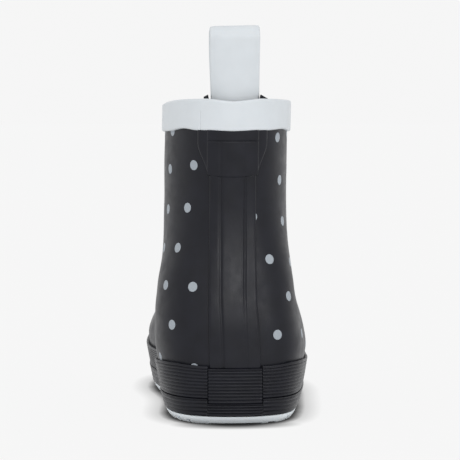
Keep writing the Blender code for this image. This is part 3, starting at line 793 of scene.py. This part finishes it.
def stay_half(rows):
    """Half width of the backstay, spreading over the heel."""
    foot = NAMES.index("foxing top")
    share = (NAMES.index("ankle") - rows) / (NAMES.index("ankle") - foot)
    return BACKSTAY_HALF_WIDTH + BACKSTAY_SPREAD * smooth(share)


def trough(distance, place, width):
    """A rounded groove: 1 at its middle, 0 outside its width."""
    return 0.5 + 0.5 * np.cos(math.pi * np.clip(np.abs(distance - place) / (width / 2), 0.0, 1.0))


tab_top = SHAFT_HEIGHT - COLLAR_LIP - COLLAR_HEIGHT - GAP
tab_foot = tab_top - TAB_HEIGHT
stay_low, stay_high = row_at(FOXING_TOP - STAY_IN_BAND), row_at(tab_foot + STAY_UNDER_TAB)
stay_rows = np.linspace(stay_low, stay_high, 110)[:, None]
groove_in, groove_out = GROOVE_PLACE - SEEN_GROOVE_WIDTH / 2, GROOVE_PLACE + SEEN_GROOVE_WIDTH / 2
edge_in = STAY_EDGE * (1.0 - np.sin(np.radians((15.0, 30.0, 45.0, 60.0, 75.0, 90.0))))
half_across = np.concatenate([
    np.linspace(0.0, groove_in, 6)[:-1],
    np.linspace(groove_in, groove_out, 13)[:-1],
    np.linspace(groove_out, BACKSTAY_HALF_WIDTH - STAY_EDGE, 6),
    BACKSTAY_HALF_WIDTH - edge_in,
])
flat = np.concatenate([-half_across[:0:-1], half_across])[None, :]
spread = stay_half(stay_rows) - BACKSTAY_HALF_WIDTH
stay_distance = flat + np.sign(flat) * spread * smooth((np.abs(flat) - GROOVE_PLACE) / (3.0 * MM))
inset = stay_half(stay_rows) - np.abs(stay_distance)
lift = (BACKSTAY_THICKNESS + GAP) * rounded(inset, STAY_EDGE) - GAP
outer_fade = OUTER_GROOVE_LEAST + (1.0 - OUTER_GROOVE_LEAST) * smooth((stay_rows - 5.0) / 3.0)
lift = lift - SEEN_GROOVE_DEPTH * trough(stay_distance, -GROOVE_PLACE, SEEN_GROOVE_WIDTH)
lift = lift - SEEN_GROOVE_DEPTH * trough(stay_distance, GROOVE_PLACE, SEEN_GROOVE_WIDTH) * outer_fade
overlay("backstay_strip", np.broadcast_to(stay_rows, stay_distance.shape), column_at(stay_distance), lift,
        OVERLAY_PAINT, ["backstay"])

SHIELD_SEEN = 0.95 * MM
SHIELD_EDGE = 1.5 * MM
TAB_BOW = 1.3 * MM
TAB_CREASE = 4.6 * MM  # below the collar trim
TAB_CREASE_WIDTH, TAB_CREASE_DEPTH = 1.1 * MM, 0.5 * MM
FAINT_WIDTH, FAINT_DEPTH = 2.6 * MM, 0.18 * MM  # the backstay's grooves, as they show through the shield
TAB_FOOT_ROUND = 0.7 * MM
TAB_FOOT_LEAST = 0.2  # share of its thickness at its very foot


def shield_half(share):
    """Half width of the shield, this share of its height above its foot."""
    least = TAB_HALF_WIDTH + 2.0 * GAP
    return least + (SHIELD_HALF_WIDTH - least) * smooth(share / 0.75)


up = np.concatenate([[0.0, 0.004, 0.012, 0.024], np.linspace(0.04, 1.03, 90)])[:, None]
across = [np.linspace(-1.0, -0.9, 11)[:-1], np.linspace(-0.9, 0.9, 91), np.linspace(0.9, 1.0, 11)[1:]]
across = np.concatenate(across)[None, :]
tab_distance = across * shield_half(up)
bow = TAB_BOW * (1.0 - (tab_distance / TAB_HALF_WIDTH) ** 2) * (1.0 - up)
tab_heights = tab_foot + up * TAB_HEIGHT - np.clip(bow, -1.0 * MM, TAB_BOW) * (1.0 - up)
raised = 1.0 - smooth((np.abs(tab_distance) - TAB_HALF_WIDTH + 0.5 * MM) / (0.8 * MM))
lift = (SHIELD_SEEN + GAP) * rounded(shield_half(up) - np.abs(tab_distance), SHIELD_EDGE) - GAP
lift = lift + (TAB_THICKNESS - SHIELD_SEEN) * raised
lift = lift * (TAB_FOOT_LEAST + (1.0 - TAB_FOOT_LEAST) * rounded(up * TAB_HEIGHT, TAB_FOOT_ROUND))
crease = trough(tab_heights, tab_top - TAB_CREASE, TAB_CREASE_WIDTH)
lift = lift - TAB_CREASE_DEPTH * crease * (np.abs(tab_distance) < TAB_HALF_WIDTH) * raised
for place in (-GROOVE_PLACE, GROOVE_PLACE):
    lift = lift - FAINT_DEPTH * trough(tab_distance, place, FAINT_WIDTH) * smooth((1.0 - up) / 0.3)
overlay("heel_tab_shield", row_at(tab_heights), column_at(tab_distance), lift, OVERLAY_PAINT,
        ["heel_tab"])

# Collar trim
TRIM_ROUND = 0.9 * MM
TRIM_EDGE = 0.12  # share of its thickness at its very edge
SEAM_PLACE = -16.3 * MM
SEAM_DEPTH = 0.32 * MM
SEAM_COLUMNS = 0.16  # its width
SEAM_HEAD = 6.5 * MM  # it ends this far below the top
TRIM_RISES = ((-5.4, 1.7, 1.2 * MM), (6.2, 2.2, 0.9 * MM))  # of its lower edge: column, width, height
trim_low = SHAFT_HEIGHT - COLLAR_LIP - COLLAR_HEIGHT
seam_columns = column_at(SEAM_PLACE + np.linspace(-0.6, 0.6, 9) * MM) % COLUMNS
trim_columns = np.sort(np.concatenate([ROUND[0], seam_columns]))[None, :]
trim_near = (trim_columns + SIDE_COLUMNS) % COLUMNS - SIDE_COLUMNS
trim_foot = trim_low + sum(h * np.exp(-(((trim_near - c) / w) ** 2)) for c, w, h in TRIM_RISES)
trim_head = SHAFT_HEIGHT - COLLAR_LIP - rim_drop(trim_columns)
trim_steps = steps(trim_low, SHAFT_HEIGHT - COLLAR_LIP, 26, TRIM_ROUND)
trim_shares = (trim_steps[:, None] - trim_low) / COLLAR_HEIGHT
trim_heights = trim_foot + trim_shares * (trim_head - trim_foot)
trim_inset = np.minimum(trim_heights - trim_foot, trim_head - trim_heights)
seam = trough(trim_columns, column_at(SEAM_PLACE) % COLUMNS, SEAM_COLUMNS)
seam = seam * smooth((SHAFT_HEIGHT - SEAM_HEAD - trim_heights) / (1.0 * MM))
lift = COLLAR_THICKNESS * (TRIM_EDGE + (1.0 - TRIM_EDGE) * rounded(trim_inset, TRIM_ROUND))
lift = lift - SEAM_DEPTH * seam
overlay("collar_band", row_at(trim_heights), trim_columns, lift, COLLAR_PAINT,
        ["collar_trim"], loop=True)


# Pull loop and the patch that holds it
rim_height = bare_wall(RIM, 0.0)[2]


def back_inside(height, across, lift):
    """Points this far across, lifted off the inside of the back wall, straight up above the rim."""
    row = row_at(min(height + RIM_DIP, SHAFT_HEIGHT))
    columns = np.linspace(-4.0, 4.0, 81)
    out = facing(row, columns)
    faces = bare_wall(row, columns) - UPPER_WALL * out - lift * unit(out * (1.0, 1.0, 0.0)) + PLACE
    x = faces[40, 0] + LOOP_OFFSET + across
    return np.stack([x, np.interp(x, faces[:, 0], faces[:, 1]), np.full(x.shape, height)], -1)


def loop_line():
    """Middle line of the strap as (distance forward, height above the rim)."""
    bend = (LOOP_OPENING + LOOP_THICKNESS) / 2
    head = LOOP_RISE - LOOP_THICKNESS / 2 - bend
    legs = LOOP_THICKNESS + GAP
    line = [(0.0, -LOOP_TAIL * (1.0 - s)) for s in np.linspace(0.0, 1.0, 8)]
    for share in np.linspace(0.0, 1.0, 25)[1:]:
        line.append((-LOOP_LEAN * share**1.5, share * head))
    centre = line[-1][0] + bend
    for angle in np.radians(np.linspace(180.0, 0.0, 25)[1:-1]):
        line.append((centre + bend * np.cos(angle), head + bend * np.sin(angle)))
    for share in np.linspace(1.0, 0.0, 25):
        apart = legs + (2.0 * bend - legs) * smooth(share**0.8)
        line.append((-LOOP_LEAN * share**1.5 + apart, share * head))
    line += [(legs, -LOOP_TAIL * s) for s in np.linspace(0.0, 1.0, 8)[1:]]
    return np.array(line)


line = loop_line()
forward = np.gradient(line, axis=0)
turn = unit(np.stack([forward[:, 1], -forward[:, 0]], 1))
LOOP_EDGE = 0.7 * MM
HEAD_CORNER = 0.9 * MM
HEAD_CORNER_WIDTH = 1.8 * MM
HEAD_TILT = 0.6 * MM
LOOP_WAIST = 0.8 * MM  # the strap's inner edge comes in by this towards the rim
LOOP_FLAT = 0.7  # how much of the wall's curve the head has lost
PIPING_PLACE, PIPING_DEPTH = 1.6 * MM, 0.16 * MM  # groove beside the inner edge, as wide as it is far in
loop_across = steps(-LOOP_HALF_WIDTH, LOOP_HALF_WIDTH, 33, LOOP_EDGE)
loop_round = 0.25 + 0.75 * rounded(LOOP_HALF_WIDTH - np.abs(loop_across), LOOP_EDGE)
piping = PIPING_DEPTH * trough(loop_across, -LOOP_HALF_WIDTH + PIPING_PLACE, PIPING_PLACE)
half_thick = LOOP_THICKNESS / 2 * loop_round - piping
seat_lift = 2.0 * GAP + ANCHOR_THICKNESS
middle = back_inside(rim_height, np.zeros(1), seat_lift)[0]
faces_of_loop = []
for side_of in (-1.0, 1.0):
    face = []
    for place, out in zip(line, turn):
        height = rim_height + place[1]
        seat = back_inside(min(height, rim_height), loop_across, seat_lift)
        flat_share = smooth(place[1] / LOOP_RISE)
        y = seat[:, 1] + flat_share * LOOP_FLAT * (middle[1] - seat[:, 1])
        y = y + LOOP_THICKNESS / 2 + place[0] + side_of * out[0] * half_thick
        near_top = smooth((place[1] / LOOP_RISE - 0.8) / 0.2)
        drop = HEAD_CORNER * (1.0 - rounded(LOOP_HALF_WIDTH - np.abs(loop_across), HEAD_CORNER_WIDTH))
        drop = drop + HEAD_TILT * (0.5 - loop_across / (2.0 * LOOP_HALF_WIDTH))
        z = height + side_of * out[1] * half_thick - near_top * drop
        waist_in = LOOP_WAIST * (1.0 - smooth(place[1] / (0.8 * LOOP_RISE))) * np.minimum(loop_across, 0.0)
        face.append(np.stack([seat[:, 0] - waist_in / LOOP_HALF_WIDTH, y, z], -1))
    faces_of_loop.append(np.array(face))
loop_grid = np.concatenate([faces_of_loop[0], faces_of_loop[1][::-1]])
skin("pull_loop_strap", loop_grid, LOOP_PAINT, ["pull_loop"])

PATCH_SIDE = 1.4 * MM  # as seen, the patch is this much wider than the solid's on the inner side
PATCH_FAR_SIDE = 3.2 * MM  # and this much on the outer side
PATCH_EARS = 3.5 * MM  # its corners beside the strap stand above the rim
PATCH_DIP = 0.5 * MM  # its top behind the strap lies below it
PATCH_SLOPE = 0.55
PATCH_ROUND = 0.5 * MM
patch_low = rim_height - LOOP_TAIL - ANCHOR_TAIL
patch_across = steps(-ANCHOR_HALF_WIDTH - PATCH_SIDE, ANCHOR_HALF_WIDTH + PATCH_FAR_SIDE, 61, PATCH_ROUND)
beside = np.maximum(np.abs(patch_across) - LOOP_HALF_WIDTH, 0.0)
patch_top = rim_height - PATCH_DIP + PATCH_EARS * smooth(beside / (0.5 * MM)) - PATCH_SLOPE * beside
patch_shares = np.concatenate([np.linspace(0.0, 0.96, 22), [0.985, 1.0]])
patch_faces = []
for patch_lift in (GAP, GAP + ANCHOR_THICKNESS):
    face = []
    for share in patch_shares:
        tops = zip(patch_across, patch_low + share * (patch_top - patch_low))
        face.append([back_inside(height, np.array([x]), patch_lift)[0] for x, height in tops])
    patch_faces.append(np.array(face))
skin("loop_patch", np.concatenate([patch_faces[0], patch_faces[1][::-1]]), OVERLAY_PAINT,
     ["loop_anchor"])


# Outsole and footbed
def slab_faces(levels, count):
    """Faces of a closed slab: rings of count points, one above the other."""
    faces = []
    for k in range(levels - 1):
        low, high = k * count, (k + 1) * count
        for j in range(count):
            after = (j + 1) % count
            faces.append((low + j, low + after, high + after, high + j))
    half = count // 2
    for base in (0, (levels - 1) * count):
        faces.append((base, base + 1, base + count - 1))
        for j in range(1, half - 1):
            faces.append((base + j, base + j + 1, base + count - j - 1, base + count - j))
        faces.append((base + half - 1, base + half, base + half + 1))
    return faces


def ring_at(lift, height, columns):
    """The feather line, lifted off and set at a height that follows the toe spring."""
    ring = wall(0.0, columns, lift)
    ring[:, 2] = height + toe_spring(ring[:, 1] - PLACE[1])
    return ring


# The sole's side and the rounding above it: how far in, and at which height
SOLE_SIDE = ((2.3, 0.0), (1.8, 0.3), (0.6, 2.0), (0.1, 3.2))
SOLE_HEAD = ((0.0, 0.0), (0.5, 0.25))
sole_columns = np.arange(COLUMNS * 3) / 3.0
sole_lift = GAP + RAND_THICKNESS - SOLE_INSET
sole_rings = [ring_at(sole_lift - inward * MM, height * MM, sole_columns) for inward, height in SOLE_SIDE]
for inward, height in SOLE_HEAD:
    sole_rings.append(ring_at(sole_lift - inward * MM, OUTSOLE_HEIGHT + height * MM, sole_columns))
sole_faces = slab_faces(len(sole_rings), len(sole_columns))
sole = finish_piece("outsole_tread", np.concatenate(sole_rings), sole_faces, SOLE_PAINT,
                    ["outsole"])


def cutter(name, boxes):
    """Boxes as (middle, half sizes, turn about Z), cut from the outsole together."""
    work = bmesh.new()
    for place, half, angle in boxes:
        size = Matrix.Diagonal((*[2 * h for h in half], 1))
        matrix = Matrix.Translation(place) @ Matrix.Rotation(angle, 4, "Z") @ size
        bmesh.ops.create_cube(work, size=1.0, matrix=matrix)
    mesh = bpy.data.meshes.new(name)
    work.to_mesh(mesh)
    work.free()
    made = add_object(name, mesh)
    cut = sole.modifiers.new(name, "BOOLEAN")
    cut.operation = "DIFFERENCE"
    cut.object = made
    return made


# Tread, as shares of the foot's length and of the ball's width from its middle
GROOVES = (0.085, 0.165, 0.245, 0.560, 0.640, 0.720, 0.800, 0.880, 0.950)
WAIST_MIDDLE, WAIST_HALF = 0.405, 0.075
WAIST_DEPTH = 0.8 * TREAD_DEPTH
LENGTHWISE = (-0.17, 0.17)
LENGTHWISE_RUNS = ((0.045, 0.300), (0.520, 0.920))
LENGTHWISE_DEPTH = 0.97 * TREAD_DEPTH
# Notches of its edge in mm: to the next one, half width, height
NOTCHES = ((9.0, 1.2, 1.1), (12.5, 2.4, 0.7), (7.5, 0.9, 1.6), (11.0, 1.6, 1.0), (8.5, 1.1, 1.3))
NOTCH_REACH = 2.6 * MM  # to either side of the lower edge
HEEL_NOTCH = (13.0 * MM, 0.55 * MM)  # half width and height of the low arch at the back of the heel
BELOW = -2.0 * TREAD_DEPTH


def box_below(x, y, top, half_x, half_y, angle=0.0):
    """A box from this height down past the floor."""
    return (x, y, (top + BELOW) / 2), (half_x, half_y, (top - BELOW) / 2), angle


grooves = []
for share in GROOVES:
    y = share * FOOT_LENGTH
    grooves.append(box_below(0.0, y + PLACE[1], TREAD_DEPTH + toe_spring(y), BALL_WIDTH, TREAD_GROOVE / 2))
waist_y = WAIST_MIDDLE * FOOT_LENGTH + PLACE[1]
grooves.append(box_below(0.0, waist_y, WAIST_DEPTH, BALL_WIDTH, WAIST_HALF * FOOT_LENGTH))
lengthwise = []
for across_share in LENGTHWISE:
    x = across_share * BALL_WIDTH + PLACE[0]
    for start, stop in LENGTHWISE_RUNS:
        y = (start + stop) / 2 * FOOT_LENGTH + PLACE[1]
        half_run = (stop - start) / 2 * FOOT_LENGTH
        lengthwise.append(box_below(x, y, LENGTHWISE_DEPTH, TREAD_GROOVE / 2, half_run))
edge_ring = ring_at(sole_lift - SOLE_SIDE[0][0] * MM, 0.0, ROUND[0])
edge_run = np.concatenate([[0.0], np.cumsum(np.linalg.norm(np.diff(edge_ring[:, :2], axis=0), axis=1))])


def edge_at(distance):
    """The point of the lower edge this far round it."""
    return [float(np.interp(distance % edge_run[-1], edge_run, edge_ring[:, axis])) for axis in range(3)]


def edge_notch(place, half_width, height):
    """A box that cuts the edge of the outsole from below, at this distance round it."""
    at, ahead = edge_at(place), edge_at(place + 1.0 * MM)
    angle = math.atan2(ahead[1] - at[1], ahead[0] - at[0])
    return box_below(at[0], at[1], height + at[2], half_width, NOTCH_REACH, angle)


notches = [edge_notch(0.0, *HEEL_NOTCH)]
place = HEEL_NOTCH[0] + 6.0 * MM
while place < edge_run[-1] - HEEL_NOTCH[0] - 5.0 * MM:
    apart, half_width, height = NOTCHES[len(notches) % len(NOTCHES)]
    notches.append(edge_notch(place, half_width * MM, height * MM))
    place += apart * MM
cut_sets = (("grooves_across", grooves), ("grooves_lengthwise", lengthwise), ("edge_notches", notches))
cutters = [cutter(name, boxes) for name, boxes in cut_sets]
bpy.context.view_layer.update()
cut_mesh = bpy.data.meshes.new_from_object(sole.evaluated_get(bpy.context.evaluated_depsgraph_get()))
sole.modifiers.clear()
sole.data = cut_mesh
cut_mesh.shade_smooth()
cut_mesh.set_sharp_from_angle(angle=math.radians(30.0))
for old in cutters:
    bpy.data.objects.remove(old)


def bed_ring(inset, height, columns):
    """The inside of the feather line, this far in and at a height that follows the toe spring."""
    ring = inner_point(0.0, columns, 0.0) - inset * unit(facing(0.0, columns) * (1.0, 1.0, 0.0))
    ring[:, 2] = height + toe_spring(ring[:, 1] - PLACE[1])
    return ring


# The footbed's rings in mm: how far in, and how far below its top
BED_SIDE = ((0.4, INSOLE_THICKNESS / MM), (0.4, 0.5), (0.6, 0.1), (1.2, 0.0))
bed_columns = np.arange(COLUMNS * 4) / 4.0
bed_top = FEATHER + INSOLE_THICKNESS
bed_rings = [bed_ring(inward * MM, bed_top - below * MM, bed_columns) for inward, below in BED_SIDE]
bed_faces = slab_faces(len(bed_rings), len(bed_columns))
finish_piece("footbed", np.concatenate(bed_rings), bed_faces, INSOLE_PAINT, ["insole"])

# Camera, where the photograph was taken from
LENS_PIXELS = 2140.0
IMAGE_SIZE = 460.0
SENSOR = 36.0
CAMERA_BEHIND = 1.035
CAMERA_HEIGHT = 0.172
CAMERA_ASIDE = -0.0032
CAMERA_TURN = math.radians(2.8)
CAMERA_DOWN = math.radians(4.2)


def look_along(made, direction):
    """Turn a camera or light so that it looks in this direction."""
    made.rotation_mode = "QUATERNION"
    made.rotation_quaternion = direction.to_track_quat("-Z", "Y")


camera_data = bpy.data.cameras.new("camera")
camera_data.sensor_width = SENSOR
camera_data.lens = LENS_PIXELS / IMAGE_SIZE * SENSOR
camera = add_object("camera", camera_data)
aim = Vector((math.sin(CAMERA_TURN), math.cos(CAMERA_TURN), 0.0))
aside = Vector((aim.y, -aim.x, 0.0))
camera.location = Vector((0.0, CAD_LOW.y, CAMERA_HEIGHT)) - CAMERA_BEHIND * aim + CAMERA_ASIDE * aside
look_along(camera, aim * math.cos(CAMERA_DOWN) - Vector((0.0, 0.0, math.sin(CAMERA_DOWN))))
bpy.context.scene.camera = camera

# Floor and light. The floor glows evenly and carries painted shadows where the boot stands
FLOOR_HALF = 6.0
FLOOR_DROP = 0.02 * MM
FLOOR_GLOW = 0.903
HEEL_SHADOW_PLACE = (0.0, CAD_LOW.y + 4.0 * MM, 0.0)  # a painted shadow: an oval under and behind the heel
HEEL_SHADOW_SIZE = (33.0 * MM, 15.0 * MM, 1.0)
HEEL_SHADOW_LEAST = 0.12
SHADOWS = ((13.0 * MM, 0.52), (5.0 * MM, 0.10))  # painted shade from occlusion where the boot stands: reach, and how dark it gets
floor_mesh = bpy.data.meshes.new("floor")
corners = [(x * FLOOR_HALF, y * FLOOR_HALF, -FLOOR_DROP) for x, y in ((-1, -1), (1, -1), (1, 1), (-1, 1))]
floor_mesh.from_pydata(corners, [], [(0, 1, 2, 3)])
floor = add_object("floor", floor_mesh)
floor_paint = Paint("floor_glow_painted_shadow")
floor_paint.put("Base Color", (0.02, 0.02, 0.02, 1.0))
floor_paint.put("Roughness", floor_paint.ramp(floor_paint.noise(0.02), 0.85, 0.95))
floor_paint.put("Specular IOR Level", 0.0)
# Painted shade: the floor's glow is darkened near the boot by occlusion, and by a painted shadow oval
# behind the heel
shades = []
for reach, darkest in SHADOWS:
    near = floor_paint.node("ShaderNodeAmbientOcclusion", {"Distance": reach}, samples=16)
    shades.append(floor_paint.ramp(near.outputs["AO"], darkest, 1.0, 0.35, 1.0))
behind_heel = floor_paint.node("ShaderNodeVectorMath", {1: HEEL_SHADOW_PLACE}, operation="SUBTRACT")
floor_paint.link(floor_paint.where, behind_heel.inputs[0])
oval = floor_paint.node("ShaderNodeVectorMath", {1: HEEL_SHADOW_SIZE}, operation="DIVIDE")
floor_paint.link(behind_heel.outputs[0], oval.inputs[0])
reach_out = floor_paint.node("ShaderNodeVectorMath", operation="LENGTH")
floor_paint.link(oval.outputs[0], reach_out.inputs[0])
shades.append(floor_paint.ramp(reach_out.outputs["Value"], HEEL_SHADOW_LEAST, 1.0, 0.25, 1.0))
floor_paint.put("Emission Color", (1.0, 1.0, 1.0, 1.0))
shade = floor_paint.combine("MULTIPLY", shades)
floor_paint.put("Emission Strength", floor_paint.ramp(shade, 0.0, FLOOR_GLOW, 0.0, 1.0))
floor_mesh.materials.append(floor_paint.made)

WORLD_LIGHT = 0.92
world = bpy.data.worlds.new("studio")
world.use_nodes = True
background = world.node_tree.nodes["Background"]
background.inputs["Color"].default_value = (1.0, 1.0, 1.0, 1.0)
background.inputs["Strength"].default_value = WORLD_LIGHT
bpy.context.scene.world = world


def sun(name, strength, angle, direction):
    """A soft light from far away."""
    data = bpy.data.lights.new(name, "SUN")
    data.energy = strength
    data.angle = math.radians(angle)
    look_along(add_object(name, data), Vector(direction))


def softbox(name, power, width, height, place, target):
    """A rectangular light that only shows in what it lights."""
    data = bpy.data.lights.new(name, "AREA")
    data.shape = "RECTANGLE"
    data.size, data.size_y = width, height
    data.energy = power
    made = add_object(name, data)
    made.location = place
    made.visible_camera = False
    look_along(made, Vector(target) - Vector(place))


sun("top_light", 0.22, 40.0, (0.10, 0.20, -1.0))
softbox("behind_camera", 3.4, 0.80, 0.26, (0.05, -1.35, 0.44), (0.0, -0.09, 0.08))
softbox("right_behind", 2.0, 0.40, 0.26, (0.78, -1.15, 0.42), (0.0, -0.09, 0.08))
softbox("high_left", 0.8, 0.25, 0.5, (-0.9, -0.9, 0.9), (0.0, -0.05, 0.08))

bpy.context.scene.view_settings.view_transform = "Standard"
